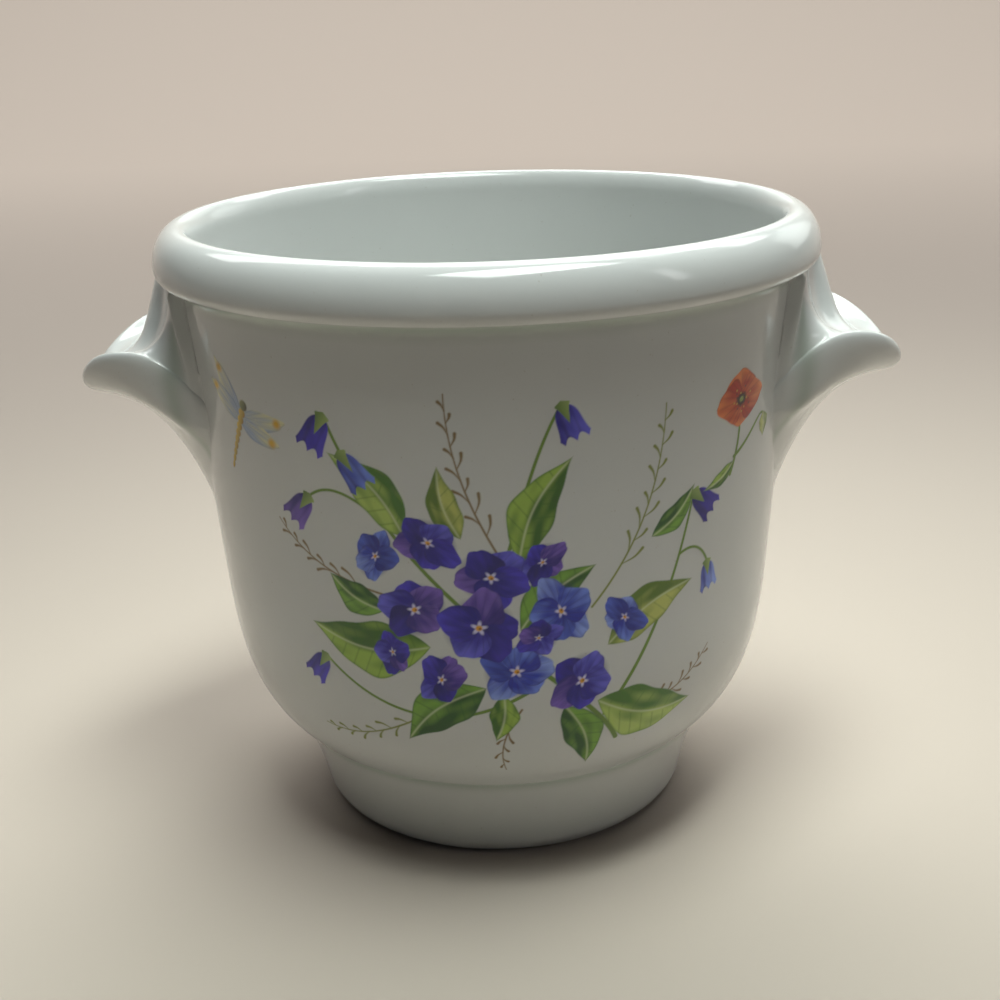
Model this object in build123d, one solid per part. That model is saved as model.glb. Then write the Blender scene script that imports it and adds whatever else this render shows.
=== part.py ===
from build123d import *
import os
from math import asin, cos, pi, radians, sin, tan

# A glazed porcelain cachepot: a cast bowl with a heavy rolled rim, a separate foot ring under it and
# two pressed ear handles luted to its wall. Millimetres, +Z up, the table at Z 0, handles along X.

# Bowl
height = 150.0                # table to the top of the rim
neck_diameter = 149.0         # outside of the wall where it meets the roll
rim_overhang = 5.0            # neck out to the widest line of the roll
lip_inset = 6.3               # widest line of the roll in to the ring where it is highest
waist_diameter = 138.4        # outside of the wall where the lower corner starts to turn in
seat_diameter = 111.6         # flat underside that sits on the foot ring
waist_height = 62.0           # table to the start of the lower corner
rim_belly_drop = 9.0          # top of the rim down to the widest line of the roll
rim_underside_drop = 12.0     # top of the rim down to the lowest line of the roll
rim_underside_inset = 2.7     # widest line of the roll in to its lowest line
neck_drop = 14.6              # top of the rim down to where the roll has run into the wall
lip_inner_drop = 6.0          # top of the rim down to the straight bore
wall_thickness = 5.0
floor_thickness = 6.0
floor_flat_diameter = 92.0    # flat middle of the inside floor
heel_angle = 45.0             # degrees from level at which the lower corner leaves the seat
corner_fullness_share = 0.75  # how far the lower corner reaches into its corner point
round_fullness_share = 0.55   # the same for the rounded rim and for small edges

# Foot ring
foot_height = 24.0            # table to the underside of the bowl
foot_top_diameter = 110.4     # outside, where the ring meets the bowl
foot_waist_diameter = 100.6   # corner point of the hollow curve of the side
foot_waist_height = 14.5
foot_toe_diameter = 96.4      # outside, just above the rounded toe
foot_toe_height = 3.6
foot_contact_diameter = 90.4  # outside of the face that stands on the table
foot_contact_width = 4.2
foot_inner_rise = 1.6         # rounded inner edge of the contact face
foot_bore_diameter = 96.0     # inside, where the ring meets the bowl

# Ear handles: every section lies in a plane through the axis of the pot
ear_reach = 24.1              # how far the lip stands out from the wall at the middle of the ear
ear_width = 59.0              # across one ear where it leaves the wall
ear_crest_rise = 7.2          # how far the crest climbs from the middle to each shoulder
ear_crest_fall = 9.0          # how far it comes down again from the shoulder to the wall
ear_thickness = 8.1           # lip down to the flat underside
ear_lip_roll = 2.0            # how far the underside stands out past the lip
ear_notch = 1.0               # dip in the reach at the middle of the lip
ear_tail_drop = 2.0           # start of the lower corner down to the buried end of the underside
ear_side_drop = 9.5           # underside down to that buried end, at the side of the ear
ear_top_drop = 7.0            # top of the rim down to the start of the rib, inside the roll
ear_top_run = 20.0            # how far the top edge comes down from the roll to the side
ear_rib_stand = 2.6           # the middle rib past the wall, where it starts inside the roll
ear_rib_lean = 25.0           # degrees from upright at which the rib leaves the roll
ear_border = 1.0              # thickness of the top edge on the wall
ear_lip_dip = 20.0            # degrees by which the channel slopes down at the middle of the lip
ear_shoulder_tilt = 25.0      # degrees by which the top face rises to the crest at the shoulders
ear_flank_turn = 85.0         # degrees by which the underside turns down towards the sides
ear_root = 7.0                # how deep the sections reach into the wall before they are trimmed
ear_tail_sink = 2.2           # how far that end lies under the surface of the wall
ear_tail_lean = 14.0          # degrees from upright at which the underside comes out of the wall

# Places along half an ear, from its middle to its side, as shares of its half spread
ear_station_shares = (0.0, 0.15, 0.35, 0.55, 0.75, 0.92, 1.1)
ear_shoulder_share = 0.6
ear_lip_share = 0.7275        # height of the lip on the straight wall, from the lower corner to the neck
ear_top_edge_share = 0.45
ear_rib_half_share = 0.5
ear_notch_half_share = 0.2
ear_spread_power = 1.6        # shape of the ear seen from above: 1 is a wedge, 2 a round nose
ear_side_power = 0.6          # shape of the faded edge seen from the front
ear_edge_power = 1.2          # shape of the top edge seen from the front
ear_border_power = 8.0        # how late the top edge thins out towards the side
ear_fade_power = 4.0          # how late the curves of the section flatten towards the side
ear_end_share = 0.05          # what is left of them past the side
ear_start_shares = (0.39, 1.05)   # pull of the top face down the wall, at the middle and the shoulders
ear_finish_shares = (0.53, 0.85)  # pull of the top face towards the crest, at the same places
ear_nose_share = 0.6          # roundness of the nose, of the ear's thickness
ear_under_share = 0.75        # pull of the underside away from the nose, of the ear's thickness
ear_tail_share = 1.1          # pull of the underside up the wall, of the height below the nose

neck_radius = neck_diameter / 2
rim_radius = neck_radius + rim_overhang
lip_radius = rim_radius - lip_inset
waist_radius = waist_diameter / 2
seat_radius = seat_diameter / 2
neck_height = height - neck_drop
floor_height = foot_height + floor_thickness
wall_slope = (neck_radius - waist_radius) / (neck_height - waist_height)
ear_lip_height = waist_height + (neck_height - waist_height) * ear_lip_share
ear_tail_height = waist_height - ear_tail_drop
ear_side_height = ear_lip_height + ear_crest_rise - ear_crest_fall - ear_thickness - ear_side_drop


def wall_radius(z):
    """Outside radius of the straight part of the wall, carried on at any height."""
    return waist_radius + (z - waist_height) * wall_slope


def bend(start, corner, end, fullness_share):
    """Curve from start to end that leaves and arrives in line with the corner point."""
    return Bezier(
        start,
        tuple(s + (c - s) * fullness_share for s, c in zip(start, corner)),
        tuple(e + (c - e) * fullness_share for e, c in zip(end, corner)),
        end,
    )


def revolved(*edges):
    """Solid turned about Z from the edges of a closed outline of (radius, height) points."""
    return revolve(Plane.XZ * make_face(Wire(edges)), Axis.Z)


def heel_corner():
    """Point where the seat's heel line meets the line of the wall."""
    heel_slope = 1 / tan(radians(heel_angle))
    base = seat_radius - foot_height * heel_slope
    z = (waist_radius - waist_height * wall_slope - base) / (heel_slope - wall_slope)
    return wall_radius(z), z


def bowl_outline():
    """Outside of the bowl from the axis under the floor up to the top of the lip."""
    seat = (seat_radius, foot_height)
    waist = (waist_radius, waist_height)
    neck = (neck_radius, neck_height)
    underside = (rim_radius - rim_underside_inset, height - rim_underside_drop)
    belly = (rim_radius, height - rim_belly_drop)
    lip = (lip_radius, height)
    return [
        Line((0, foot_height), seat),
        bend(seat, heel_corner(), waist, corner_fullness_share),
        Line(waist, neck),
        bend(neck, (wall_radius(underside[1]), underside[1]), underside, round_fullness_share),
        bend(underside, (belly[0], underside[1]), belly, round_fullness_share),
        bend(belly, (belly[0], lip[1]), lip, round_fullness_share),
    ]


def make_bowl():
    lip = (lip_radius, height)
    bore_height = height - lip_inner_drop
    bore = (wall_radius(bore_height) - wall_thickness, bore_height)
    inner_waist = (waist_radius - wall_thickness, waist_height)
    inner_corner = (wall_radius(floor_height) - wall_thickness, floor_height)
    floor_edge = (floor_flat_diameter / 2, floor_height)
    return revolved(
        *bowl_outline(),
        bend(lip, (bore[0], lip[1]), bore, round_fullness_share),
        Line(bore, inner_waist),
        bend(inner_waist, inner_corner, floor_edge, corner_fullness_share),
        Line(floor_edge, (0, floor_height)),
        Line((0, floor_height), (0, foot_height)),
    )


def make_foot_ring():
    top = (foot_top_diameter / 2, foot_height)
    waist = (foot_waist_diameter / 2, foot_waist_height)
    toe = (foot_toe_diameter / 2, foot_toe_height)
    contact = (foot_contact_diameter / 2, 0)
    heel = (contact[0] - foot_contact_width, 0)
    inner = (heel[0] - foot_inner_rise / 2, foot_inner_rise)
    bore = (foot_bore_diameter / 2, foot_height)
    return revolved(
        Line(bore, top),
        bend(top, waist, toe, corner_fullness_share),
        bend(toe, (contact[0] + foot_contact_width / 2, 0), contact, round_fullness_share),
        Line(contact, heel),
        bend(heel, (inner[0], 0), inner, round_fullness_share),
        Line(inner, bore),
    )


def eased(share):
    """Smooth rise from 0 to 1 with level ends."""
    return share * share * (3 - 2 * share)


def crest_point(place):
    """Radius and height of the crest of the ear at a share of its half spread."""
    if place < ear_shoulder_share:
        rise = ear_crest_rise * eased(place / ear_shoulder_share)
    else:
        past = (place - ear_shoulder_share) / (1 - ear_shoulder_share)
        rise = ear_crest_rise - ear_crest_fall * past ** 2
    z = ear_lip_height + rise
    notch = ear_notch * max(0, cos(pi / 2 * min(1, place / ear_notch_half_share))) ** 2
    reach = (ear_reach + ear_notch) * (1 - place ** ear_spread_power)
    return wall_radius(z) + reach - notch, z


def ear_section(place):
    """Closed outline of the ear in the plane through the axis at a share of its half spread."""
    angle = place * asin(ear_width / 2 / neck_radius)
    place = abs(place)
    lift = sin(pi / 2 * min(1, place / ear_rib_half_share))
    rib = ear_rib_stand * (1 - lift) ** 2
    past_edge = max(0, place - ear_top_edge_share) / (1 - ear_top_edge_share)
    top_z = height - ear_top_drop - ear_top_run * past_edge ** ear_edge_power
    border = ear_border * (1 - place ** ear_border_power)
    start = (wall_radius(top_z) + rib + border, top_z)
    crest = crest_point(place)
    nose_end = (crest[0] + ear_lip_roll * (1 - place) - ear_border * place, crest[1] - ear_thickness)
    side = min(1, place)
    tail_z = ear_tail_height + (ear_side_height - ear_tail_height) * (
        1 - (1 - side ** 2) ** ear_side_power
    )
    tail = (wall_radius(tail_z) - ear_tail_sink, tail_z)

    lean = radians(ear_rib_lean) * (1 - lift)
    tail_lean = radians(ear_tail_lean)
    rise = radians((ear_lip_dip + ear_shoulder_tilt) * lift - ear_lip_dip)
    turn = radians(ear_flank_turn) * sin(pi / 2 * side)
    fade = max(ear_end_share, 1 - side ** ear_fade_power)
    pull = fade * (ear_start_shares[0] + (ear_start_shares[1] - ear_start_shares[0]) * lift) * (
        start[1] - crest[1]
    )
    reach = fade * (ear_finish_shares[0] + (ear_finish_shares[1] - ear_finish_shares[0]) * lift) * abs(
        crest[0] - start[0]
    )
    nose = fade * ear_nose_share * ear_thickness
    under = fade * ear_under_share * ear_thickness
    tail_pull = ear_tail_share * (nose_end[1] - tail_z)
    top_back = (wall_radius(top_z) - ear_root, top_z)
    tail_back = (wall_radius(tail_z) - ear_root, tail_z)
    plane = Plane(
        origin=(0, 0, 0),
        x_dir=(cos(angle), sin(angle), 0),
        z_dir=(sin(angle), -cos(angle), 0),
    )
    outline = Wire([
        Bezier(
            start,
            (start[0] + pull * sin(lean), start[1] - pull * cos(lean)),
            (crest[0] - reach * cos(rise), crest[1] - reach * sin(rise)),
            crest,
        ),
        Bezier(
            crest,
            (crest[0] + nose * cos(rise), crest[1] + nose * sin(rise)),
            (nose_end[0] + nose * cos(turn), nose_end[1] + nose * sin(turn)),
            nose_end,
        ),
        Bezier(
            nose_end,
            (nose_end[0] - under * cos(turn), nose_end[1] - under * sin(turn)),
            (tail[0] + tail_pull * sin(tail_lean), tail[1] + tail_pull * cos(tail_lean)),
            tail,
        ),
        Line(tail, tail_back),
        Line(tail_back, top_back),
        Line(top_back, start),
    ])
    return plane * make_face(outline)


def make_handle(bowl_block):
    """Ear at +X: a loft through its sections, trimmed to the outside of the bowl."""
    places = [-share for share in reversed(ear_station_shares)] + list(ear_station_shares[1:])
    return loft([ear_section(place) for place in places]) - bowl_block


os.makedirs("parts", exist_ok=True)

bowl = make_bowl()
foot_ring = make_foot_ring()
bowl_block = revolved(
    *bowl_outline(),
    Line((lip_radius, height), (0, height)),
    Line((0, height), (0, foot_height)),
)
handle_right = make_handle(bowl_block)
handle_left = mirror(handle_right, Plane.YZ)

for name, shape in (
    ("bowl", bowl),
    ("foot_ring", foot_ring),
    ("handle_right", handle_right),
    ("handle_left", handle_left),
):
    print(name, "volume", round(shape.volume), "cubic millimetres")
    export_step(shape, f"parts/{name}.step")
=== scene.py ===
import bpy
import numpy as np
from mathutils import Matrix, Vector


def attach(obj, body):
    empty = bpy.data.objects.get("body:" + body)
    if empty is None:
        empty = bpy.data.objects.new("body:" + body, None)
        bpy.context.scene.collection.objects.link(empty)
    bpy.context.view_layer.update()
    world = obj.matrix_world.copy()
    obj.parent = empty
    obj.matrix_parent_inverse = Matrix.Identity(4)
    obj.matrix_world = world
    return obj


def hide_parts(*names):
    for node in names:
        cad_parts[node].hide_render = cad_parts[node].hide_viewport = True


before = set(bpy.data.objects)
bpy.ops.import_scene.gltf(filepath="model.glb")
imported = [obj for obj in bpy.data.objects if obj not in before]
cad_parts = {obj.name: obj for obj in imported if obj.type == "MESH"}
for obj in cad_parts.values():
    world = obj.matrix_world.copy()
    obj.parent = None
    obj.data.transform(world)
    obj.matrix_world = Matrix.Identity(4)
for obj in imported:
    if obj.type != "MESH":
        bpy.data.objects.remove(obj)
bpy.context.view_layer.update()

# Foot ring
# The tall ring that the pot stands on, thrown or cast on its own and luted under the bowl with slip.
# White hard-paste porcelain under the same clear glaze as the bowl, wiped off the standing edge.

MM = 0.001                 # sizes are in millimetres, and this takes them to Blender's metres
FOOT_HEIGHT = 24.0
SEAT_RADIUS = 55.8         # of the bowl's underside, where it rests on the foot
ROUND, BLUNT, FULL = 0.55, 0.6, 0.75      # fullness of a near quarter circle and of fuller curves


def bezier(start, leave, arrive, end, count, ease=1.0):
    """Points of a cubic curve from start to end, drawn towards leave and arrive; ease over 1 crowds
    them towards the start. Every corner may be one point or a row of them."""
    corners = [np.asarray(p, float) for p in (start, leave, arrive, end)]
    t = np.linspace(0.0, 1.0, count) ** ease
    t = t.reshape((count,) + (1,) * corners[0].ndim)
    weights = ((1 - t) ** 3, 3 * (1 - t) ** 2 * t, 3 * (1 - t) * t ** 2, t ** 3)
    return sum(w * p for w, p in zip(weights, corners))


def bend(start, corner, end, fullness, count=20):
    """Curve from start to end that leaves and arrives in line with the corner point."""
    s, c, e = (np.asarray(p, float) for p in (start, corner, end))
    return bezier(s, s + (c - s) * fullness, e + (c - e) * fullness, e, count)


def joined(*runs):
    """One row of points from several, without the doubled point where two of them meet."""
    points = [np.atleast_2d(run) for run in runs]
    kept = [points[0]]
    for run in points[1:]:
        same = np.hypot(*(run[0] - kept[-1][-1])) < 1e-9
        kept.append(run[1:] if same else run)
    return np.concatenate(kept)


def straight(start, end, count):
    """Evenly spaced points from start to end."""
    share = np.linspace(0.0, 1.0, count)[:, None]
    return np.asarray(start, float) * (1 - share) + np.asarray(end, float) * share


def mesh_piece(name, points, faces):
    """Object at the origin from points in millimetres and rows of corner numbers. A row that repeats
    its third corner is a triangle. The shading is smooth, and the faces look away from the axis."""
    mesh = bpy.data.meshes.new(name)
    sides = np.where(faces[:, 2] == faces[:, 3], 3, 4)
    loops = faces.ravel()[(np.arange(4) < sides[:, None]).ravel()]
    mesh.vertices.add(len(points))
    mesh.vertices.foreach_set("co", (np.asarray(points) * MM).ravel())
    mesh.loops.add(len(loops))
    mesh.loops.foreach_set("vertex_index", loops)
    mesh.polygons.add(len(faces))
    mesh.polygons.foreach_set("loop_start", np.concatenate([[0], np.cumsum(sides)[:-1]]))
    mesh.update(calc_edges=True)
    mesh.polygons.foreach_set("use_smooth", np.ones(len(faces), bool))
    mesh.validate()
    centres, normals = np.empty((2, len(mesh.polygons), 3), np.float32)
    areas = np.empty(len(mesh.polygons), np.float32)
    mesh.polygons.foreach_get("center", centres.ravel())
    mesh.polygons.foreach_get("normal", normals.ravel())
    mesh.polygons.foreach_get("area", areas)
    if ((centres * normals).sum(1) * areas).sum() < 0:
        mesh.flip_normals()
    piece = bpy.data.objects.new(name, mesh)
    bpy.context.scene.collection.objects.link(piece)
    return piece


def turned(name, profile, around, closed):
    """Surface swept by a profile of (radius, height) points about Z. Every point runs round a circle,
    x = radius * cos(turn), y = radius * sin(turn). An open profile starts and ends on the axis,
    where the circles shrink to one point. A closed one joins its last circle to its first."""
    profile = np.asarray(profile, float)
    rings = profile if closed else profile[1:-1]
    turn = np.arange(around) * 2 * np.pi / around
    circle = np.stack([np.cos(turn), np.sin(turn)], -1)
    heights = np.repeat(rings[:, None, 1:], around, 1)
    points = np.concatenate([rings[:, None, :1] * circle, heights], -1)
    count = len(rings)
    row = np.arange(count if closed else count - 1)[:, None] * around
    up = (row + around) % (count * around)
    here = np.arange(around)[None]
    there = (here + 1) % around
    faces = np.stack([row + here, row + there, up + there, up + here], -1).reshape(-1, 4)
    points = points.reshape(-1, 3)
    if not closed:
        poles = [(0.0, 0.0, profile[0, 1]), (0.0, 0.0, profile[-1, 1])]
        first, last = len(points), len(points) + 1
        end = (count - 1) * around
        here, there = here[0], there[0]
        caps = [np.stack([np.full(around, first), there, here, here], -1),
                np.stack([np.full(around, last), end + here, end + there, end + there], -1)]
        points = np.concatenate([points, poles])
        faces = np.concatenate([faces] + caps)
    return mesh_piece(name, points, faces)


def linear(colour):
    """Linear red, green and blue of an sRGB hex colour."""
    parts = [int(colour[i:i + 2], 16) / 255 for i in (1, 3, 5)]
    return tuple(c / 12.92 if c <= 0.04045 else ((c + 0.055) / 1.055) ** 2.4 for c in parts)


def add_node(material, kind, links=(), **settings):
    """Adds one node to the material. A setting is a field of the node or, with in_ before its name
    or number, a socket. Each pair in links joins a socket to the output that feeds it."""
    node = material.node_tree.nodes.new(kind)
    for field, value in settings.items():
        if field.startswith("in_"):
            key = field[3:]
            node.inputs[int(key) if key.isdigit() else key.replace("_", " ")].default_value = value
        else:
            setattr(node, field, value)
    for socket, source in links:
        material.node_tree.links.new(source, node.inputs[socket])
    return node


WHITE = "#d5d7d5"          # the fired body under clear glaze: a cold white, a little green
POOLED_AND_SHADED = "#aab5aa"         # the same darkened in hollows: greenish glaze run thick, with painted shade
SPECK = "#efece7"          # laid over either: iron specks, drawn pale
SWELL, PIMPLE, SPECK_APART = 29.41, 3.846, 0.7692        # millimetres from one to the next


def glazed_porcelain(name, paint=None):
    """Hard-paste porcelain, cast, bisque fired and dipped in clear feldspar glaze. It gives the eye a
    cold white with a wet gloss: in the hollows it turns greenish where the glaze lies thick and is
    darkened as painted shade, its surface swells a little over 2 to 4 cm so that reflections waver,
    and a few pin-sized specks sit in the body. With paint, the named colour attribute takes the
    place of the white: enamel that has sunk into the glaze and has its gloss."""
    material = bpy.data.materials.new(name)
    material.use_nodes = True
    material.node_tree.nodes.clear()
    place = [("Vector", add_node(material, "ShaderNodeTexCoord").outputs["Object"])]
    swell = add_node(material, "ShaderNodeTexNoise", place,
                     in_Scale=1 / (SWELL * MM), in_Detail=2.0).outputs["Fac"]
    pimples = add_node(material, "ShaderNodeTexNoise", place,
                       in_Scale=1 / (PIMPLE * MM), in_Detail=2.0).outputs["Fac"]
    grain = add_node(material, "ShaderNodeTexNoise", place,
                     in_Scale=1 / (SPECK_APART * MM), in_Detail=1.0).outputs["Fac"]
    specks = add_node(material, "ShaderNodeValToRGB", [("Fac", grain)])
    for end, spot, colour in zip(specks.color_ramp.elements, (0.19, 0.25), (SPECK, "#ffffff")):
        end.position, end.color = spot, (*linear(colour), 1)
    if paint:
        ground = add_node(material, "ShaderNodeAttribute", attribute_name=paint).outputs["Color"]
    else:
        pool_shade = add_node(material, "ShaderNodeAttribute", attribute_name="pool_shade").outputs["Fac"]
        ground = add_node(material, "ShaderNodeMix", [(0, pool_shade)], data_type="RGBA",
                          in_6=(*linear(WHITE), 1), in_7=(*linear(POOLED_AND_SHADED), 1)).outputs[2]
    speckled = add_node(material, "ShaderNodeVectorMath", [(0, ground), (1, specks.outputs["Color"])],
                        operation="MULTIPLY").outputs[0]
    tone = add_node(material, "ShaderNodeMapRange", [("Value", swell)], in_To_Min=0.975, in_To_Max=1.02)
    colour = add_node(material, "ShaderNodeVectorMath", [(0, speckled), ("Scale", tone.outputs[0])],
                      operation="SCALE").outputs[0]
    gloss = add_node(material, "ShaderNodeMapRange", [("Value", swell)], in_To_Min=0.06, in_To_Max=0.11)
    waver = add_node(material, "ShaderNodeBump", [("Height", swell)],
                     in_Strength=0.35, in_Distance=0.6 * MM)
    skin = add_node(material, "ShaderNodeBump", [("Height", pimples), ("Normal", waver.outputs[0])],
                    in_Strength=0.06, in_Distance=0.3 * MM)
    glaze = add_node(material, "ShaderNodeBsdfPrincipled", [
        ("Base Color", colour), ("Roughness", gloss.outputs[0]), ("Normal", skin.outputs[0])],
        in_IOR=1.52)
    add_node(material, "ShaderNodeOutputMaterial", [("Surface", glaze.outputs[0])])
    return material


def bump(offset, width):
    """Bell curve: exp(-(offset / width)^2), 1 where the offset is 0."""
    return np.exp(-(offset / width) ** 2)


def points_of(piece):
    """The piece's points in millimetres."""
    points = np.empty((len(piece.data.vertices), 3), np.float32)
    piece.data.vertices.foreach_get("co", points.ravel())
    return points.astype(float) / MM


def set_pool_and_shade(piece, share):
    """Stores at every point how far the white gives way to the darker pooled colour, from 0 to 1: a
    glaze pool and painted shade together.
    """
    layer = piece.data.attributes.new("pool_shade", "FLOAT", "POINT")
    layer.data.foreach_set("value", np.clip(share, 0, 1).astype(np.float32))


# Its section as (radius, height) points, from the joint round the outside to the hollow within. The
# last number of each run is its count of points.
joint_inner, joint_outer = (48.0, FOOT_HEIGHT), (54.7, FOOT_HEIGHT)
top_corner, top_edge = (55.2, FOOT_HEIGHT), (55.0, 23.4)
foot_waist, toe, toe_corner = (50.3, 14.5), (48.2, 3.6), (47.3, 0.0)
stand_outer, stand_inner = (45.2, 0.0), (41.0, 0.0)
hollow_corner, hollow_edge = (40.2, 0.0), (40.2, 1.6)
foot_profile = joined(
    straight(joint_inner, joint_outer, 4),
    bend(joint_outer, top_corner, top_edge, BLUNT, 6),
    bend(top_edge, foot_waist, toe, FULL, 40),
    bend(toe, toe_corner, stand_outer, ROUND, 14),
    straight(stand_outer, stand_inner, 5),
    bend(stand_inner, hollow_corner, hollow_edge, ROUND, 8),
    straight(hollow_edge, joint_inner, 24),
)[:-1][::-1]
foot = turned("foot", foot_profile, 320, closed=True)

# The top of its outside, by the seam under the bowl's overhang, is darkened: the glaze runs thick
# there, and shade is painted in.
SEAM_POOL_SHADE_REACH, FOOT_OUTSIDE = 2.2, 50.0      # how far down it reaches, and the radius it stays outside of
x, y, z = points_of(foot).T
set_pool_and_shade(foot, 0.8 * bump(z - FOOT_HEIGHT, SEAM_POOL_SHADE_REACH) * (np.hypot(x, y) > FOOT_OUTSIDE))
foot.data.materials.append(glazed_porcelain("glazed_porcelain_foot"))
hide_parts("foot_ring")
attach(foot, "root")

# Bowl
# The body of the pot: wall, floor, rounded lower corner and a heavy rolled rim, slip-cast in one
# piece of white porcelain. Dipped in clear glaze inside and out, it is luted on the foot ring.

HEIGHT = 150.0
WALL, FLOOR = 5.0, 6.0
NECK, WAIST = (74.5, 135.4), (69.2, 62.0)         # the straight wall's ends, as (radius, height)
WALL_SLOPE = (NECK[0] - WAIST[0]) / (NECK[1] - WAIST[1])


def wall_radius(z):
    """Outside radius of the straight part of the wall, carried on at any height."""
    return WAIST[0] + (z - WAIST[1]) * WALL_SLOPE


# The lower corner draws in towards the point where the wall's line meets one at 45 degrees from the
# seat. The roll bulges from the neck by way of its underside and belly to the lip.
heel_z = (WAIST[0] - WAIST[1] * WALL_SLOPE - (SEAT_RADIUS - FOOT_HEIGHT)) / (1 - WALL_SLOPE)
heel = (wall_radius(heel_z), heel_z)
seat_inner, seat_corner = (SEAT_RADIUS - 0.7, FOOT_HEIGHT), (SEAT_RADIUS, FOOT_HEIGHT)
seat_edge = (SEAT_RADIUS + 0.45, FOOT_HEIGHT + 0.5)
underside, belly, lip = (76.8, 138.0), (79.5, 141.0), (73.2, HEIGHT)
outside = joined(
    bend(seat_inner, seat_corner, seat_edge, BLUNT, 6),
    bend(seat_edge, heel, WAIST, FULL, 48),
    straight(WAIST, NECK, 40),
    bend(NECK, (wall_radius(underside[1]), underside[1]), underside, ROUND, 14),
    bend(underside, (belly[0], underside[1]), belly, ROUND, 14),
    bend(belly, (belly[0], lip[1]), lip, ROUND, 26),
)
bore_z, floor_z = HEIGHT - 6.0, FOOT_HEIGHT + FLOOR
bore, inner_waist = (wall_radius(bore_z) - WALL, bore_z), (WAIST[0] - WALL, WAIST[1])
floor_edge = (46.0, floor_z)
inside = joined(
    bend(lip, (bore[0], lip[1]), bore, ROUND, 16),
    straight(bore, inner_waist, 30),
    bend(inner_waist, (wall_radius(floor_z) - WALL, floor_z), floor_edge, FULL, 30),
    straight(floor_edge, (0.0, floor_z), 16),
)
seat = straight((0.0, FOOT_HEIGHT), seat_inner, 8)
body = turned("bowl_body", joined(seat, outside, inside), 400, closed=False)

# The crease under the roll and the corner of the floor are darkened: the glaze runs thick there, and
# the shade under the roll and deep inside the bowl is painted in.
CREASE_Z, CREASE_POOL_SHADE_REACH, CREASE_RADIUS = 137.2, 1.6, 77.5
CORNER_TOP_Z, CORNER_RADIUS = 45.0, 60.0
x, y, z = points_of(body).T
radius = np.hypot(x, y)
under_roll = (radius > wall_radius(z) - 1.0) * (radius < CREASE_RADIUS)
in_corner = (z > floor_z - 0.5) * (z < CORNER_TOP_Z) * (radius < CORNER_RADIUS)
set_pool_and_shade(body, 0.9 * bump(z - CREASE_Z, CREASE_POOL_SHADE_REACH) * under_roll + 0.5 * in_corner)
body.data.materials.append(glazed_porcelain("glazed_porcelain_bowl"))
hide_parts("bowl")
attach(body, "root")

# Ear handles
# Two ears for thumb and fingers, pressed from porcelain in a mould and luted to the wall under the
# rim with slip. Each has a rib down the middle of its dished top, a raised border and a thick lip.

# Lengths are in millimetres, leans and slopes in degrees. A share runs from the middle of the ear,
# 0, to its edge, 1. A pair gives the value in the middle, then the one at the edge.
EAR_HALF_WIDTH, EAR_REACH, EAR_THICK = 33.0, 22.3, 6.8
EAR_TOP_Z = HEIGHT - 7.0                                   # within the roll
EAR_LIP_Z = WAIST[1] + (NECK[1] - WAIST[1]) * 0.7275       # the lip's crest, in the middle
EAR_SIDE_Z = EAR_LIP_Z - 15.5                              # the underside's corners
EAR_TAIL_Z, TAIL_SINK, TAIL_SLOPE, TAIL_POWER = 67.5, 2.2, 76.0, 0.85
SHOULDER_SHARE, SHOULDER_DROP, SHOULDER_POWER = 0.84, 24.0, 2.2
DISH_HEIGHT, RIB_HEIGHT, RIB_SHARE = 1.3, 2.4, 0.3
NOTCH_DEPTH, NOTCH_SHARE = 1.6, 0.2
CREST_SHARE, CREST_RISE, CREST_DROP = 0.69, 7.8, 10.5
FLANK_THICK, FLANK_PROUD, NOSE_PROUD = 5.5, 1.0, 2.0
LIFT_SHARE, SMOOTHED_SHARE, LEAST_PULL, LEAST_BULGE = 0.5, 0.04, 0.05, 0.45
TOP_LEANS, CREST_SLOPES, UNDER_SLOPES = (20.0, 0.0), (-20.0, 12.0), (0.0, 85.0)
# A pull is how far a curve is drawn along its end's direction, as a share of what it has to cover.
TOP_PULLS, CREST_PULLS, BULGE = (0.78, 0.88), (0.72, 0.80), 0.6
UNDER_PULLS, TAIL_PULLS = (0.75, 1.95), (1.1, 0.6)


def ear_top(side):
    """Height of the ear's upper edge: level inside the roll, then down round the shoulder by a power
    of the share past it."""
    past = np.clip((side - SHOULDER_SHARE) / (1 - SHOULDER_SHARE), 0, 1)
    return EAR_TOP_Z - SHOULDER_DROP * past ** SHOULDER_POWER


def smooth(share):
    """Step from 0 to 1 that starts and ends level: 3 share^2 - 2 share^3."""
    share = np.minimum(1, share)
    return share ** 2 * (3 - 2 * share)


def ridge(share):
    """Rounded ridge, cos^2 of a quarter turn per share: 1 in the middle, 0 from a share of 1 on."""
    return np.cos(np.pi / 2 * np.minimum(1, share)) ** 2


def between(pair, share):
    """Value that goes evenly from the first of a pair to the second."""
    return pair[0] + (pair[1] - pair[0]) * share


def step(angle, length):
    """Steps of that length in a direction given in degrees, from straight outwards round to up."""
    angle = np.radians(angle)
    return np.stack([np.cos(angle), np.sin(angle)], -1) * length[:, None]


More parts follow.
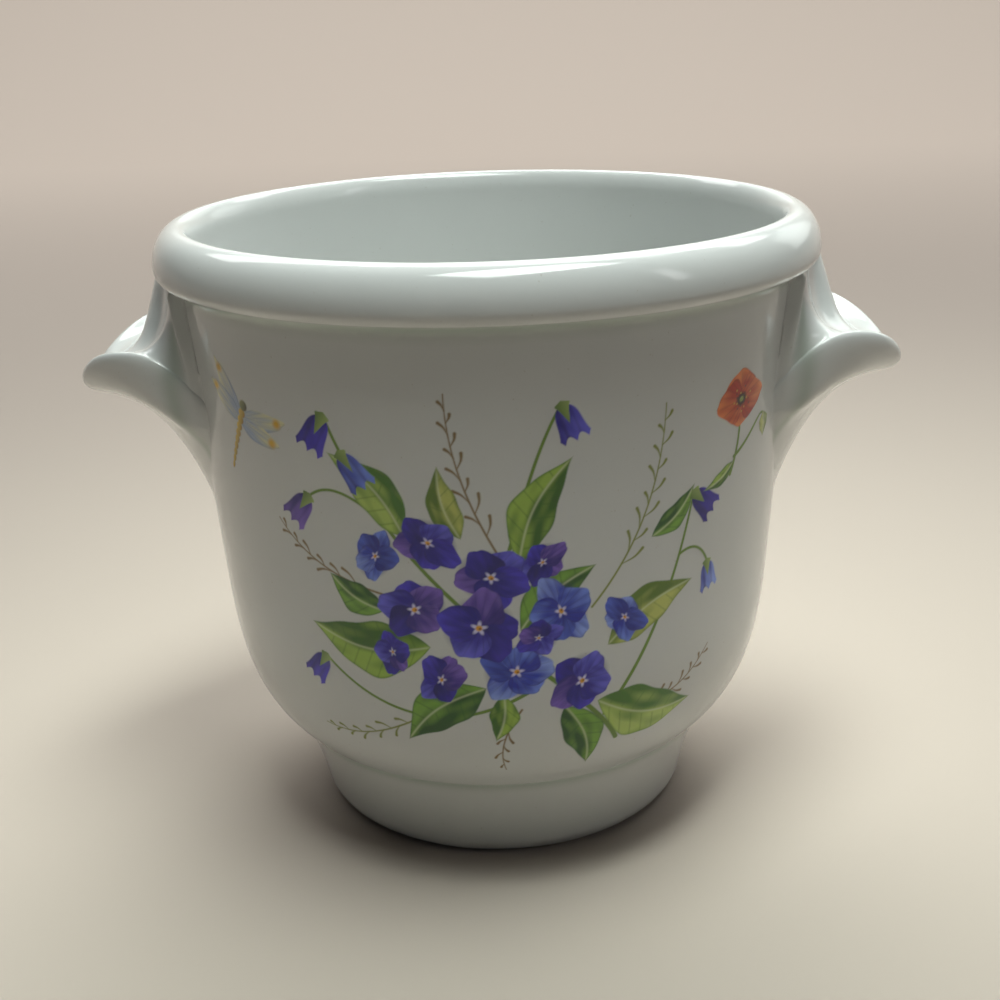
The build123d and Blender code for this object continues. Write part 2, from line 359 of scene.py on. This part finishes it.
def ear_sections(place, counts):
    """Radius and height along the outside of the ear, for a row of places across it from -1 to 1.
    Three cubic curves make each section, with counts of points: the dished top face from the roll
    to the crest, the nose round the lip, and the underside down to where it has sunk in the wall."""
    side = (1 + SMOOTHED_SHARE) * place ** 2 / (np.abs(place) + SMOOTHED_SHARE)
    inner = np.minimum(1, side)
    lift = smooth(side / LIFT_SHARE)
    fade = 1 - inner ** 4

    top_z = ear_top(side)
    top_r = wall_radius(top_z) + RIB_HEIGHT * ridge(side / RIB_SHARE) + DISH_HEIGHT * (1 - side ** 8)
    past = np.maximum(0, side - CREST_SHARE) / (1 - CREST_SHARE)
    crest_z = EAR_LIP_Z + CREST_RISE * smooth(side / CREST_SHARE) - CREST_DROP * past ** 2
    crest_r = wall_radius(crest_z) + (EAR_REACH + NOTCH_DEPTH) * (1 - side ** 2)
    crest_r = crest_r - NOTCH_DEPTH * ridge(side / NOTCH_SHARE)
    thick = EAR_THICK + FLANK_THICK * inner ** 4 * (1 - inner ** 8)
    nose_z = crest_z - thick
    nose_r = crest_r + NOSE_PROUD * (1 - side) + FLANK_PROUD * side * fade
    tail_z = between((EAR_TAIL_Z, EAR_SIDE_Z), 1 - (1 - inner ** 2) ** TAIL_POWER)
    tail_r = wall_radius(tail_z) - TAIL_SINK
    start, crest, nose, tail = (np.stack(point, -1) for point in (
        (top_r, top_z), (crest_r, crest_z), (nose_r, nose_z), (tail_r, tail_z)))

    pull = np.maximum(LEAST_PULL, fade)
    down = step(between(TOP_LEANS, lift) - 90, pull * between(TOP_PULLS, lift) * (top_z - crest_z))
    slope = between(CREST_SLOPES, lift)
    under_slope = between(UNDER_SLOPES, np.sin(np.pi / 2 * inner))
    out = step(slope, pull * between(CREST_PULLS, lift) * np.abs(crest_r - top_r))
    bulge = BULGE * EAR_THICK * np.maximum(LEAST_BULGE, fade)
    inward = step(under_slope, between(UNDER_PULLS, inner ** 2) * thick * pull)
    rise = step(TAIL_SLOPE, between(TAIL_PULLS, inner ** 2) * (nose_z - tail_z))
    return np.concatenate([
        bezier(start, start + down, crest - out, crest, counts[0], ease=1.5),
        bezier(crest, crest + step(slope, bulge), nose + step(under_slope, bulge), nose, counts[1])[1:],
        bezier(nose, nose - inward, tail + rise, tail, counts[2])[1:],
    ])


ARC_RADIUS = 74.0                        # at which lengths across the ear are measured
OVERRUN_SHARE = 1.12                     # how far the sections go on, past the edge, in the wall
SIDE_END_Z = 96.0                        # the outline's lower ends, for measuring from it
BORDER_LOW_Z, BORDER_HIGH_Z = 100.0, 128.0        # the border comes up between them
BORDER_HEIGHT, BORDER_WIDTH, BORDER_INSET, EDGE_ROUND = 1.7, 1.4, 1.8, 1.1
BORDER_FROM_WALL = 1.5                   # where the ear is higher over the wall, the border fades
JOINT_SOFT, JOINT_SINK, BACK_SINK = 0.9, 0.06, 2.5
POOL_SHADE_INSET, POOL_SHADE_WIDTH = 3.6, 1.4        # where the colour darkens beside the border: glaze run thick, and painted shade in the valley


def edge_gap(arc, z, half_arc):
    """Distance of each point from the ear's outline, on the wall rolled flat: the least distance to
    any of 600 points spaced evenly up one side, over the upper edge and down the other side."""
    share = np.linspace(-1, 1, 2001)
    line = np.stack([share * half_arc, ear_top(np.abs(share))], -1)
    line = np.concatenate([[(-half_arc, SIDE_END_Z)], line, [(half_arc, SIDE_END_Z)]])
    walked = np.concatenate([[0], np.cumsum(np.hypot(*np.diff(line, axis=0).T))])
    even = np.linspace(0, walked[-1], 600)
    gap = np.full(z.shape, np.inf)
    for x, y in zip(*(np.interp(even, walked, line[:, k]) for k in (0, 1))):
        gap = np.minimum(gap, np.hypot(arc - x, z - y))
    return gap


def soft_join(height, softness):
    """Height over a surface, eased so that what dives under it meets it without a crease."""
    eased = (height + softness) ** 2 / (4 * softness)
    return np.where(height > softness, height, np.where(height < -softness, 0.0, eased))


def outside_radius(z):
    """Outside radius of the bowl at a height, the rolled rim included."""
    return np.interp(z, outside[:, 1], outside[:, 0])


def ear_piece(name, hand):
    """The ear's sections set round the axis, each at its place times the half spread, and on past the
    edge within the wall. A border stands along the outline where the ear lies close to the wall, the
    joint is eased, and a back face in the wall closes the ear. hand is 1 at +X and -1 at -X."""
    half_spread = np.arcsin(EAR_HALF_WIDTH / NECK[0])
    place = np.linspace(-OVERRUN_SHARE, OVERRUN_SHARE, 241)
    radius, z = np.moveaxis(ear_sections(place, (70, 20, 64)), -1, 0)
    gap = edge_gap(place * half_spread * ARC_RADIUS, z, half_spread * ARC_RADIUS)
    wall = outside_radius(z)
    height = radius - wall
    come_up = np.clip((z - BORDER_LOW_Z) / (BORDER_HIGH_Z - BORDER_LOW_Z), 0, 1) ** 2
    come_up = come_up * bump(wall - wall_radius(z), 1.0)
    close = bump(np.maximum(0, height - BORDER_FROM_WALL), 1.0) * (np.abs(place) <= 1)
    height = height + BORDER_HEIGHT * bump(gap - BORDER_INSET, BORDER_WIDTH) * come_up * close
    rounded = np.sqrt(1 - np.clip(1 - gap / EDGE_ROUND, 0, 1) ** 2)
    radius = wall + soft_join(height * rounded ** come_up, JOINT_SOFT) - JOINT_SINK
    back_z = z[[-1, 0]]
    radius = np.concatenate([radius, outside_radius(back_z) - BACK_SINK])
    turn = place * half_spread
    points = np.stack([hand * radius * np.cos(turn), radius * np.sin(turn),
                       np.concatenate([z, back_z])], -1).reshape(-1, 3)
    count, wide = radius.shape
    row = np.arange(count)[:, None] * wide
    up = (row + wide) % (count * wide)
    here = np.arange(wide - 1)[None]
    faces = np.stack([row + here, row + here + 1, up + here + 1, up + here], -1).reshape(-1, 4)
    for column, way in ((0, 1), (wide - 1, -1)):
        loop = np.arange(count)[::way] * wide + column
        centre, after = len(points), np.roll(loop, -1)
        points = np.concatenate([points, [points[loop].mean(0)]])
        faces = np.concatenate([faces, np.stack([np.full(count, centre), loop, after, after], -1)])
    piece = mesh_piece(name, points, faces)
    # Painted shade, with a glaze pool: the colour darkens in the valley just inside the border.
    pool_shade_share = np.zeros(len(points))
    pool_shade_share[:gap.size] = 0.7 * bump(gap - POOL_SHADE_INSET, POOL_SHADE_WIDTH).ravel()
    set_pool_and_shade(piece, pool_shade_share)
    piece.data.materials.append(glazed_porcelain("glazed_porcelain_" + name))
    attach(piece, "root")
    return piece


ear_right = ear_piece("ear_right", 1.0)
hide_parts("handle_right")
ear_left = ear_piece("ear_left", -1.0)
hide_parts("handle_left")

# Painted decoration
# A generic spray of flowers and leaves with two small motifs beside it, brushed on the finished
# glaze in ground enamel colours and fired once more, so that it sinks in and shines as the glaze
# does. Each patch is a surface just over the wall whose points hold the brushed colours.

PITCH = 0.2                # millimetres between points, about one brush hair
PAINT_RADIUS = 71.0        # at which the lengths across the painting are measured
LAYER = 0.04               # how far the paint stands over the glaze
FEATHER = 0.3              # over which a brushed edge fades
INK = "#1d1470"            # the darkest violet, for folds and veins
across = np.arange(-84.0, 84.1, PITCH)
upward = np.arange(27.0, 131.1, PITCH)
sheet = np.tile(np.array(linear(WHITE), np.float32), (len(upward), len(across), 1))
cover = np.zeros(sheet.shape[:2], np.float32)


def near(x, y, reach):
    """The stretch of the sheet within reach of a point, and the offsets from that point in it."""
    rows, columns = (slice(*np.searchsorted(axis, (middle - reach, middle + reach)))
                     for axis, middle in ((upward, y), (across, x)))
    dy, dx = np.meshgrid(upward[rows] - y, across[columns] - x, indexing="ij")
    return (rows, columns), dx, dy


def pigment(colour):
    """Linear values of a hex colour. A sheet of linear colours stays as it is."""
    return np.array(linear(colour)) if isinstance(colour, str) else colour


def lay(spot, colour, strength):
    """Lays a colour over a stretch of the sheet, as thickly as the strength says from 0 to 1."""
    strength = np.clip(strength, 0, 1)
    sheet[spot] += (pigment(colour) - sheet[spot]) * strength[..., None]
    cover[spot] = np.maximum(cover[spot], strength)


def brushed(inside):
    """Strength of a brushed patch by the distance inside its outline, in millimetres."""
    return inside / FEATHER + 0.4


def blend(first, second, share):
    """Colour part of the way from one to another."""
    first, second = pigment(first), pigment(second)
    return first + (second - first) * np.clip(share, 0, 1)[..., None]


def wash(u, v, seed):
    """A soft unevenness from -1 to 1: three crossed waves that the seed shifts."""
    return (np.sin(2.1 * u + 1.7 * v + seed) + np.sin(3.7 * u - 2.9 * v + 2.3 * seed)
            + np.sin(5.3 * v + 1.1 * u + 3.1 * seed)) / 3


def turned_to(dx, dy, angle):
    """Offsets measured along and across a direction in degrees."""
    a = np.radians(angle)
    return dx * np.cos(a) + dy * np.sin(a), dy * np.cos(a) - dx * np.sin(a)


def petal(spot, dx, dy, angle, length, width, base, tip, seed, dent=0.1, broad=0.62, line=INK):
    """One petal that grows from the origin: half width sin(pi * share^broad)^0.75, the tip dented,
    darker at the base and down one side, with fine lines that fan out from the base."""
    along, side = turned_to(dx, dy, angle)
    u, v = along / length, side / (width / 2)
    u = u / (1 - dent * bump(v, 0.3) + 0.03 * np.sin(7 * v + seed))
    inner = np.clip(u, 1e-6, 1)
    half = np.sin(np.pi * inner ** broad) ** 0.75 * (1 + 0.05 * np.sin(8 * inner + seed))
    edge = np.minimum((half - np.abs(v)) * width / 2, np.minimum(u, 1 - u) * length)
    fan = np.arctan2(v, 2.2 * inner + 0.3)
    colour = blend(base, tip, 1.1 * inner ** 1.5 + 0.3 * v + 0.3 * wash(2.5 * u, 2.5 * v, seed))
    veins = bump(np.sin(fan * 13 + seed), 0.35) * np.clip(1.15 - inner, 0, 1)
    colour = blend(colour, line, 0.45 * veins)
    colour = blend(colour, line, 0.45 * bump(edge, 0.4) * (v < 0.1))
    lay(spot, colour, brushed(edge) * (0.94 + 0.08 * wash(2 * u, 2 * v, seed)))


def bloom(x, y, size, facing, squash, shades, seed):
    """A wheel of five broad petals seen at a slant, narrowed by squash across the way it faces,
    with a dark throat, a pale star and a yellow eye in the middle. The petals overlap in an order
    that the seed draws."""
    spot, dx, dy = near(x, y, size * 1.3)
    along, side = turned_to(dx, dy, facing)
    side = side / squash
    far = np.hypot(along, side)
    lay(spot, "#221a6a", 0.8 * (0.8 - far / size) / 0.3)
    for k in np.random.default_rng(seed).permutation(5):
        grow = 1 + 0.1 * np.sin(2.7 * seed + 1.9 * k)
        base, tip = shades[(k + seed) % len(shades)]
        angle = 360 / 5 * k + 12 * np.sin(seed + k)
        petal(spot, along, side, angle, size * grow, size * 0.94, base, tip, seed + 1.3 * k)
    ray = np.cos(2.5 * np.arctan2(side, along)) ** 2
    lay(spot, "#d6d2f4", (0.11 * size * (1 + 0.9 * ray) - far) / 0.6 * 0.8)
    lay(spot, "#e0a02c", (0.085 * size - far) / 0.35)
    lay(spot, "#7a3414", (0.04 * size - np.hypot(along - 0.2, side + 0.2)) / 0.3)


def bell(x, y, size, hang, shades, seed):
    """A bell-shaped flower that hangs from its closed end: a domed top that flares to a mouth of
    three points, a dark fold down each side, and a cup of green at the stalk."""
    spot, dx, dy = near(x, y, size * 1.3)
    along, side = turned_to(dx, dy, hang)
    wide = size * 0.42
    u, v = along / size, side / wide
    inner = np.clip(u, 0, 1)
    half = 0.72 * (1 - np.exp(-inner / 0.13)) + 0.32 * inner ** 4
    mouth = 1 - 0.16 * np.abs(np.sin(np.pi * 1.45 * v))
    edge = np.minimum((half - np.abs(v)) * wide, np.minimum(u, mouth - u) * size)
    colour = blend(*shades, 0.2 + 0.6 * inner + 0.45 * v + 0.25 * wash(3 * u, 2 * v, seed))
    folds = bump(v + 0.38, 0.12) + 0.6 * bump(v - 0.34, 0.1)
    colour = blend(colour, INK, 0.55 * folds + 0.4 * bump(edge, 0.4) * (v < 0))
    lay(spot, colour, brushed(edge))
    points = 0.34 + 0.2 * np.cos(6 * v)
    cup = 0.62 * np.clip((u + 0.08) / 0.12, 0, 1) * np.clip(1 - u / points, 0, 1)
    lay(spot, blend("#4e7030", "#a9c070", 0.5 + 0.9 * v), (cup - np.abs(v)) * wide / FEATHER)


def leaf(x, y, angle, length, width, bow, dark, light, seed):
    """A pointed leaf: half width sin(pi * share^0.8)^1.15 to either side of a rib that bows like
    half a wave, one side in shadow, side ribs that run forward, and more colour at the outline."""
    spot, dx, dy = near(x, y, length * 1.1)
    along, side = turned_to(dx, dy, angle)
    u = along / length
    inner = np.clip(u, 1e-6, 1)
    v = (side - bow * np.sin(np.pi * inner)) / (width / 2)
    half = np.sin(np.pi * inner ** 0.8) ** 1.15 * (1 + 0.05 * np.sin(17 * inner + seed))
    edge = np.minimum((half - np.abs(v)) * width / 2, np.minimum(u, 1 - u) * length)
    lit = 0.5 + 0.45 * np.tanh(4 * v * np.sign(np.cos(seed)))
    colour = blend(dark, light, lit + 0.5 * wash(4 * u, 2 * v, seed))
    ribs = bump(np.sin(np.pi * (inner * length / 3.4 - 0.75 * np.abs(v))), 0.2)
    colour = blend(colour, dark, 0.4 * ribs * (np.abs(v) > 0.08))
    colour = blend(colour, "#dde4b4", 0.6 * bump(v * width / 2, 0.28))
    colour = blend(colour, dark, 0.7 * bump(edge, 0.45))
    lay(spot, colour, brushed(edge) * (0.95 + 0.07 * wash(5 * u, 3 * v, seed)))


def stroke(corners, thick, colour, strength=1.0):
    """A brush line along the cubic curve of four corners, from one width to the other, as the
    distance to the nearest of 25 short straight runs."""
    runs = 25
    line = bezier(*corners, runs + 1)
    middle = line.mean(0)
    spot, dx, dy = near(*middle, np.abs(line - middle).max() + 2)
    best, width = np.full(dx.shape, np.inf), np.full(dx.shape, thick[0])
    for k, (a, b) in enumerate(zip(line[:-1] - middle, line[1:] - middle)):
        run = b - a
        t = np.clip(((dx - a[0]) * run[0] + (dy - a[1]) * run[1]) / (run @ run + 1e-9), 0, 1)
        off = np.hypot(dx - a[0] - t * run[0], dy - a[1] - t * run[1])
        width = np.where(off < best, thick[0] + (thick[1] - thick[0]) * (k + t) / runs, width)
        best = np.minimum(best, off)
    lay(spot, colour, ((width / 2 - best) / 0.22 + 0.5) * strength)


def wisp(corners, blades, size, colour, seed):
    """A wisp of grass: a thin line, and from about a fifth of its length on, short strokes to
    either side in turn, smaller to the end."""
    stroke(corners, (0.6, 0.3), colour, 0.8)
    line = bezier(*corners, 4 * blades)
    first = int(0.22 * len(line))
    for k in range(blades):
        at = first + 3 * k
        (x, y), run = line[at], line[at + 1] - line[at]
        lean = np.arctan2(run[1], run[0]) + (0.62 if k % 2 else -0.62) + 0.12 * np.sin(seed + 3 * k)
        long = size * (1 - 0.55 * k / blades) * (1 + 0.2 * np.sin(seed + 2 * k))
        bent, tip = ((x + far * np.cos(way), y + far * np.sin(way))
                     for far, way in ((0.6 * long, lean - 0.2), (long, lean)))
        stroke(((x, y), bent, bent, tip), (0.3, 0.8), colour, 0.75)


PURPLES = (("#1f1490", "#4c3ed4"), ("#281c9c", "#6a68e4"),
           ("#180e78", "#3628b4"), ("#36228c", "#8262cc"))
BLUES = (("#2432b0", "#7490f0"), ("#1c2a98", "#5068d8"), ("#2c40bc", "#90a8f4"))
GREENS = (("#3e6c20", "#a2c450"), ("#4c7c2a", "#b8d268"),
          ("#2e5c24", "#80b044"), ("#5e7c28", "#c4cc6c"))
STALK, OLIVE, SEPIA = "#6c8c34", "#868e48", "#86704c"

# Stalks first, then wisps, leaves, blooms and bells, each laid over what is there.
for corners, thick in (
    (((30, 38), (20, 58), (-18, 74), (-34, 118)), (1.3, 0.7)),
    (((26, 46), (38, 62), (44, 78), (47, 96)), (1.0, 0.6)),
    (((10, 56), (-8, 44), (-26, 46), (-41, 60)), (0.9, 0.6)),
    (((0, 76), (6, 94), (8, 108), (15, 121)), (0.9, 0.6)),
    (((-26, 98), (-32, 102), (-36, 102), (-40, 99)), (0.7, 0.6)),
    (((44, 82), (48, 84), (51, 82), (53, 78)), (0.7, 0.6)),
):
    stroke(corners, thick, STALK)
for corners, blades, size, colour, seed in (
    (((22, 74), (34, 88), (38, 102), (38, 118)), 13, 5.0, OLIVE, 1),
    (((-24, 78), (-34, 80), (-44, 84), (-50, 92)), 11, 4.0, SEPIA, 2),
    (((4, 84), (-4, 98), (-8, 110), (-8, 124)), 12, 4.6, SEPIA, 3),
    (((-14, 50), (-26, 42), (-36, 38), (-46, 40)), 11, 3.8, OLIVE, 4),
    (((30, 48), (42, 44), (50, 48), (56, 56)), 11, 4.0, SEPIA, 5),
    (((6, 50), (2, 44), (0, 38), (2, 31)), 7, 3.2, SEPIA, 6),
):
    wisp(corners, blades, size, colour, seed)

for x, y, angle, length, width, bow, shade, seed in (
    (-14, 66, 176, 30, 14, 3.0, 0, 1),
    (24, 50, -14, 29, 14, -3.0, 1, 2),
    (-2, 56, 218, 25, 12, -2.5, 2, 3),
    (26, 64, 26, 25, 11, 2.5, 3, 4),
    (-18, 92, 132, 24, 10, -2.5, 1, 5),
    (16, 50, -70, 21, 10, 2.0, 2, 6),
    (6, 86, 64, 26, 10, 2.5, 0, 7),
    (36, 88, 42, 15, 6, -1.5, 2, 8),
    (-6, 92, 104, 17, 7, 1.5, 3, 10),
    (6, 70, 40, 22, 10, 2.0, 2, 11),
    (-24, 74, 150, 15, 8, 1.5, 2, 12),
    (2, 54, -100, 13, 7, 1.0, 0, 13),
):
    leaf(x, y, angle, length, width, bow, *GREENS[shade], seed)

for x, y, size, facing, squash, shades, seed in (
    (-25, 87, 7.5, 60, 0.7, BLUES, 21),
    (30, 70, 7.5, 130, 0.72, BLUES, 22),
    (11, 86, 6.5, 40, 0.8, PURPLES, 31),
    (-23, 64, 6.5, 100, 0.75, PURPLES, 32),
    (-12, 58, 8.0, 70, 0.75, PURPLES, 23),
    (-13, 91, 8.5, -30, 0.8, PURPLES, 24),
    (20, 56, 9.5, 60, 0.86, PURPLES, 25),
    (15, 74, 9.5, 110, 0.8, BLUES, 26),
    (-17, 75, 9.5, 30, 0.85, PURPLES, 27),
    (0, 83, 9.5, -20, 0.85, PURPLES, 28),
    (5, 60, 9.5, 10, 0.9, BLUES, 29),
    (10, 68, 6.0, 10, 0.8, PURPLES, 33),
    (-3, 71, 10.5, 10, 0.95, PURPLES, 30),
):
    bloom(x, y, size, facing, squash, shades, seed)

for x, y, size, hang, shades in (
    (-34, 118, 10.0, 240, PURPLES[0]),
    (-31, 110, 9.5, 305, BLUES[0]),
    (-40, 99, 9.5, 228, PURPLES[3]),
    (47, 96, 9.5, 318, PURPLES[2]),
    (53, 78, 8.0, 282, BLUES[2]),
    (15, 121, 9.0, 292, PURPLES[1]),
    (-41, 60, 9.0, 232, PURPLES[0]),
):
    bell(x, y, size, hang, shades, x)

# The small motif at the left: four clear wings with fine ribs, a jointed yellow body, a round head.
heading = 62               # degrees, from tail to head
spot, dx, dy = near(-59, 113, 22)
for turn, length in ((57, 15), (-57, 15), (82, 13), (-82, 13)):
    petal(spot, dx, dy, heading + turn, length, 5.2, "#a9b8d0", "#e6e2b4", turn, 0.0, 0.8, "#7484a0")
    along, side = turned_to(dx, dy, heading + turn)
    lay(spot, "#dcae34", 1.5 - np.hypot(along - 0.82 * length, side))
along, side = turned_to(dx, dy, heading)
for k in range(9):
    middle, wide = 1.8 - 1.9 * k, 1.3 - 0.09 * k
    lay(spot, blend("#96701c", "#eccb50", 0.5 + 0.5 * side / wide),
        (1 - np.hypot((along - middle) / 1.3, side / wide)) / 0.25)
lay(spot, blend("#4b4a3a", "#9aa06a", 0.5 + 0.4 * side), (1.5 - np.hypot(along - 3.9, side)) / 0.4)

# The small motif at the right: an orange-red flower with a dark heart, its bud and a narrow leaf.
for corners in (((59, 97), (62, 104), (61, 108), (61, 113)),
                ((60, 101), (67, 104), (70, 110), (72, 108))):
    stroke(corners, (0.9, 0.6), STALK)
leaf(72, 108.5, -80, 6.5, 4.6, 0.3, *GREENS[3], 3)
leaf(60, 100, 205, 11, 3.6, 1.0, *GREENS[0], 4)
spot, dx, dy = near(61, 114, 12)
dy = dy / 0.8
for turn, size in ((95, 9.5), (268, 8.2), (184, 9.3), (4, 9.5)):
    petal(spot, dx, dy, turn, size, 12.5, "#b8321a", "#f08848", turn * 0.1, 0.06, 0.5, "#7e1a0e")
far = np.hypot(dx, dy)
lay(spot, "#3a1c14", (2.3 - far) / 0.9 * 0.9)
for k in range(16):
    turn, out = k * 2.4, 1.9 + 0.85 * (k % 3)
    speck = np.hypot(dx - out * np.cos(turn), dy - out * np.sin(turn))
    lay(spot, "#2a1a20" if k % 2 else "#d9b24a", (0.36 - speck) / 0.25)
lay(spot, "#9dab62", (0.95 - far) / 0.4)


def painted_patch(name, first, last):
    """Skin on the wall that holds the painting between two distances across. A distance across
    turns distance / PAINT_RADIUS round the axis from the front, and one upward follows the bowl's
    outside by length from the waist. Only cells that the brush touched are kept."""
    length = np.concatenate([[0], np.cumsum(np.hypot(*np.diff(outside, axis=0).T))])
    length += WAIST[1] - np.interp(WAIST[1], outside[:, 1], length)
    radius, z = (np.interp(upward, length, outside[:, k]) for k in (0, 1))
    slope = np.arctan2(np.gradient(z), np.gradient(radius))
    radius, z = radius + LAYER * np.sin(slope), z - LAYER * np.cos(slope)
    turn = across / PAINT_RADIUS - np.pi / 2
    touched = cover > 0.004            # a thinner touch of the brush doesn't show
    cell = touched[1:, 1:] | touched[:-1, 1:] | touched[1:, :-1] | touched[:-1, :-1]
    cell &= (across[:-1] >= first) & (across[:-1] < last)
    row, column = np.nonzero(cell)
    wide = len(across)
    corner = row * wide + column
    faces = np.stack([corner, corner + 1, corner + wide + 1, corner + wide], -1)
    used, faces = np.unique(faces, return_inverse=True)
    row, column = used // wide, used % wide
    radius, turn = radius[row], turn[column]
    points = np.stack([radius * np.cos(turn), radius * np.sin(turn), z[row]], -1)
    piece = mesh_piece(name, points, faces.reshape(-1, 4))
    layer = piece.data.attributes.new("enamel", "FLOAT_COLOR", "POINT")
    colours = np.concatenate([sheet[row, column], np.ones((len(used), 1), np.float32)], -1)
    layer.data.foreach_set("color", colours.ravel())
    piece.data.materials.append(glazed_porcelain("enamel_" + name, paint="enamel"))
    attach(piece, "root")


painted_patch("painted_motif_left", across[0], -51.5)
painted_patch("painted_spray_left", -51.5, 0)
painted_patch("painted_spray_right", 0, 58)
painted_patch("painted_motif_right", 58, across[-1])

# Table, daylight and camera
# A pale matt table top that sweeps up into a backdrop behind, lit from above and behind by soft
# panels with grids that keep their light near the pot, so the near side of the room stays dim, and
# a camera held a little above the rim, close in front. All in metres.

TABLE_HALF, BACKDROP_TOP = 6.0, 4.0
sweep = bend((1.5, 0.0), (2.6, 0.0), (2.6, 1.1), ROUND, 30)
side_line = np.concatenate([[(-TABLE_HALF, 0.0)], sweep, [(sweep[-1, 0], BACKDROP_TOP)]])
corners = [(x, y, z) for y, z in side_line for x in (-TABLE_HALF, TABLE_HALF)]
table = bpy.data.meshes.new("table_top")
table.from_pydata(corners, [], [(k, k + 1, k + 3, k + 2) for k in range(0, len(corners) - 2, 2)])
table.polygons.foreach_set("use_smooth", np.ones(len(table.polygons), bool))
table_top = bpy.data.objects.new("table_top", table)
bpy.context.scene.collection.objects.link(table_top)

# Smooth matt paint, in a pale warm grey that gives the eye no highlight.
paint = bpy.data.materials.new("matt_paint")
paint.use_nodes = True
coat = paint.node_tree.nodes["Principled BSDF"].inputs
coat["Base Color"].default_value = (*linear("#b9aea2"), 1)
coat["Roughness"].default_value = 0.8
table.materials.append(paint)

world = bpy.data.worlds.new("room")
bpy.context.scene.world = world
world.use_nodes = True
world.node_tree.nodes["Background"].inputs["Color"].default_value = (*linear("#23252a"), 1)


def panel(name, place, size, power, colour, aim, spread):
    """A soft panel of light of that width and height, power in watts, turned towards aim, whose
    grid lets through light within the spread in degrees."""
    light = bpy.data.lights.new(name, "AREA")
    light.shape, light.size, light.size_y, light.energy = "RECTANGLE", *size, power
    light.color, light.spread = linear(colour), np.radians(spread)
    holder = bpy.data.objects.new(name, light)
    holder.location = place
    holder.rotation_euler = (Vector(aim) - Vector(place)).to_track_quat("-Z", "Y").to_euler()
    holder.visible_camera = False
    bpy.context.scene.collection.objects.link(holder)


WHITE_LIGHT, SKYLIGHT, HIGH_SKYLIGHT = "#ffffff", "#f8fffb", "#f6fffa"
panel("panel_overhead", (0.1, -0.14, 0.95), (0.6, 0.3), 0.98, HIGH_SKYLIGHT, (0, -0.05, 0.12), 50)
panel("panel_behind_above", (0.14, 0.6, 1.0), (0.9, 0.5), 0.95, HIGH_SKYLIGHT, (0, 0, 0.09), 75)
panel("panel_behind", (0.0, 1.25, 0.75), (1.2, 0.8), 0.4, SKYLIGHT, (0, 0, 0.12), 60)
panel("panel_behind_right", (0.9, 0.9, 0.5), (0.6, 0.5), 0.12, SKYLIGHT, (0, 0, 0.12), 50)
panel("panel_right", (0.75, -0.35, 0.55), (0.10, 0.4), 0.03, WHITE_LIGHT, (0, 0, 0.12), 50)
panel("panel_backdrop", (0.0, 1.6, 1.8), (4.0, 1.0), 47.0, WHITE_LIGHT, (0, 1.6, 0), 150)
panel("panel_table_left", (-0.5, 0.25, 1.0), (0.3, 0.4), 0.12, WHITE_LIGHT, (-0.5, 0.3, 0), 60)
panel("panel_table_right", (0.5, 0.25, 1.0), (0.3, 0.4), 0.12, WHITE_LIGHT, (0.5, 0.3, 0), 60)

# The camera is swung round the pot from its place in front, looks down and a touch to the right,
# and is held a little out of level. The angles are in degrees.
CAMERA_PLACE, CAMERA_SWING = (0.0, -0.3473, 0.1993), 1.2
LOOK_RIGHT, LOOK_DOWN, OUT_OF_LEVEL = 0.2, 19.7, -1.88
camera = bpy.data.cameras.new("camera")
camera.lens, camera.sensor_width = 51.34, 36.0
camera.clip_start = 0.01
holder = bpy.data.objects.new("camera", camera)
stance = Matrix.Rotation(np.radians(CAMERA_SWING), 4, "Z") @ Matrix.Translation(CAMERA_PLACE)
for degrees, axis in ((-LOOK_RIGHT, "Z"), (90 - LOOK_DOWN, "X"), (OUT_OF_LEVEL, "Z")):
    stance = stance @ Matrix.Rotation(np.radians(degrees), 4, axis)
holder.matrix_world = stance
bpy.context.scene.collection.objects.link(holder)
bpy.context.scene.camera = holder
bpy.context.scene.view_settings.view_transform = "Standard"
